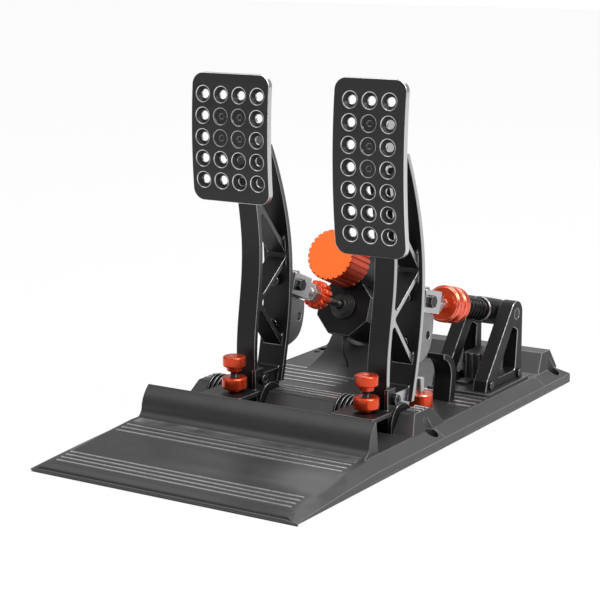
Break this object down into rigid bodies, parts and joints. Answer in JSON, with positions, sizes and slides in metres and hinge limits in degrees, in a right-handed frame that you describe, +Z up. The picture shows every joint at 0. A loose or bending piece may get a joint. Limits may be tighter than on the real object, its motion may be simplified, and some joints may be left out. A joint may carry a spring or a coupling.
{
  "type": "sim racing pedal set",
  "caption": "Brake and throttle pedals with punched plates on a low black metal base, with a brake cylinder, a sprung throttle damper and red adjuster wheels.",
  "frame": {"origin": "on the floor under the centre of the base, the floor being the underside of the rubber pads", "axes": "+X to the driver's right, +Y away from the driver, +Z up"},
  "size_m": [0.234, 0.442, 0.2849],
  "materials": {
    "black_panel": "satin",
    "black_casting": "satin",
    "black_arm": "satin",
    "charcoal_plate": "satin",
    "brushed_steel": "brushed",
    "steel": "satin",
    "polished_steel": "polished",
    "red_anodised": "anodised",
    "rubber": "matte",
    "elastomer": "matte",
    "spring_steel": "blackened",
    "black_screw": "blackened",
    "lead_sheath": "matte",
    "black_plastic": "satin"
  },
  "bodies": {
    "base": {"heel_plate": "black_panel", "brake_deck": "black_panel", "throttle_deck": "black_panel", "rear_beam": "black_panel", "front_block_left": "black_panel", "front_block_middle": "black_panel", "front_block_right": "black_panel", "foot_pads": "rubber", "brake_hinge_bracket": "black_casting", "throttle_hinge_bracket": "black_casting", "brake_axle": "steel", "throttle_axle": "steel", "rod_boot": "rubber", "cylinder_housing": "black_casting", "preload_chamber": "black_casting", "preload_elastomers": "elastomer", "brake_sensor_lead": "lead_sheath", "stand_frame_left": "black_panel", "stand_frame_right": "black_panel", "stand_screws": "black_screw", "stand_sole_plate": "black_panel", "guide_horn": "black_casting", "connector_box": "black_plastic", "travel_stop_stud": "steel"},
    "brake_pedal": {"brake_arm": "black_arm", "brake_lug_plate": "brushed_steel", "brake_foot_screw": "steel", "brake_lug_screws": "steel", "brake_toe_plate": "black_casting", "brake_plate": "charcoal_plate", "brake_plate_screws": "black_screw"},
    "brake_rod": {"brake_clevis": "brushed_steel", "brake_clevis_pin": "steel", "brake_jam_nut": "steel", "brake_pushrod": "polished_steel"},
    "brake_length_nut": {"brake_length_nut": "red_anodised"},
    "brake_stop_screw": {"brake_stop_screw": "red_anodised"},
    "brake_lock_nut": {"brake_lock_nut": "red_anodised"},
    "brake_piston": {"brake_piston": "steel"},
    "preload_cap": {"preload_cap": "red_anodised"},
    "throttle_pedal": {"throttle_arm": "black_arm", "throttle_lug_plate": "brushed_steel", "throttle_foot_screw": "steel", "throttle_lug_screws": "steel", "throttle_toe_plate": "black_casting", "throttle_plate": "charcoal_plate", "throttle_plate_screws": "black_screw"},
    "throttle_rod": {"throttle_clevis": "brushed_steel", "throttle_clevis_pin": "steel", "throttle_jam_nut": "steel", "throttle_damper_rod": "polished_steel"},
    "throttle_preload_wheel": {"throttle_preload_wheel": "red_anodised"},
    "throttle_lock_wheel": {"throttle_lock_wheel": "red_anodised"},
    "throttle_stop_screw": {"throttle_stop_screw": "red_anodised"},
    "throttle_lock_nut": {"throttle_lock_nut": "red_anodised"},
    "damper_body": {"throttle_damper_body": "black_casting", "throttle_spring": "spring_steel"},
    "travel_stop_wheel": {"travel_stop_wheel": "red_anodised"}
  },
  "joints": [
    {"name": "brake_hinge", "type": "hinge", "parent": "base", "child": "brake_pedal", "pos_m": [-0.045, -0.026, 0.02], "axis": [-1, 0, 0], "range_deg": [0, 5], "stiffness_Nm_per_rad": 400, "springref_deg": -2.86},
    {"name": "brake_rod_pivot", "type": "hinge", "parent": "brake_pedal", "child": "brake_rod", "pos_m": [-0.045, 0.022, 0.1068], "axis": [1, 0, 0], "range_deg": [0, 5.68]},
    {"name": "brake_piston_slide", "type": "slide", "parent": "base", "child": "brake_piston", "axis": [0, 0.9252, -0.3795], "range_m": [0, 0.00855]},
    {"name": "brake_length_turn", "type": "hinge", "parent": "brake_rod", "child": "brake_length_nut", "pos_m": [-0.045, 0.06595, 0.08878], "axis": [0, 0.9252, -0.3795], "continuous": true},
    {"name": "brake_stop_turn", "type": "hinge", "parent": "brake_pedal", "child": "brake_stop_screw", "pos_m": [-0.045, -0.059, 0.05], "axis": [0, 0, 1], "continuous": true},
    {"name": "brake_lock_turn", "type": "hinge", "parent": "brake_pedal", "child": "brake_lock_nut", "pos_m": [-0.045, -0.059, 0.04], "axis": [0, 0, 1], "continuous": true},
    {"name": "preload_turn", "type": "hinge", "parent": "base", "child": "preload_cap", "pos_m": [-0.045, 0.09927, 0.11467], "axis": [0, 0.9252, -0.3795], "continuous": true},
    {"name": "throttle_hinge", "type": "hinge", "parent": "base", "child": "throttle_pedal", "pos_m": [0.075, -0.026, 0.02], "axis": [-1, 0, 0], "range_deg": [0, 15], "stiffness_Nm_per_rad": 25, "springref_deg": -8.59, "deforming": ["throttle_spring"]},
    {"name": "throttle_rod_pivot", "type": "hinge", "parent": "throttle_pedal", "child": "throttle_rod", "pos_m": [0.075, 0.02381, 0.10578], "axis": [1, 0, 0], "range_deg": [0, 20.18]},
    {"name": "damper_trunnion", "type": "hinge", "parent": "base", "child": "damper_body", "pos_m": [0.075, 0.1468, 0.0741], "axis": [1, 0, 0], "range_deg": [0, 5.11]},
    {"name": "throttle_preload_turn", "type": "hinge", "parent": "throttle_rod", "child": "throttle_preload_wheel", "pos_m": [0.075, 0.06617, 0.09487], "axis": [0, 0.9684, -0.2494], "continuous": true},
    {"name": "throttle_lock_wheel_turn", "type": "hinge", "parent": "throttle_rod", "child": "throttle_lock_wheel", "pos_m": [0.075, 0.07789, 0.09185], "axis": [0, 0.9684, -0.2494], "continuous": true},
    {"name": "throttle_stop_turn", "type": "hinge", "parent": "throttle_pedal", "child": "throttle_stop_screw", "pos_m": [0.075, -0.05836, 0.05069], "axis": [0, 0.0209, 0.9998], "continuous": true},
    {"name": "throttle_lock_turn", "type": "hinge", "parent": "throttle_pedal", "child": "throttle_lock_nut", "pos_m": [0.075, -0.05857, 0.04069], "axis": [0, 0.0209, 0.9998], "continuous": true},
    {"name": "travel_stop_turn", "type": "hinge", "parent": "base", "child": "travel_stop_wheel", "pos_m": [0.075, 0.026, 0.024], "axis": [0, 0, 1], "continuous": true}
  ],
  "couplings": [
    {"joint": "brake_rod_pivot", "follows": "brake_hinge", "ratio": 1.1339},
    {"joint": "brake_piston_slide", "follows": "brake_hinge", "m_per_rad": 0.0978},
    {"joint": "throttle_rod_pivot", "follows": "throttle_hinge", "ratio": 1.345},
    {"joint": "damper_trunnion", "follows": "throttle_hinge", "ratio": 0.34}
  ]
}
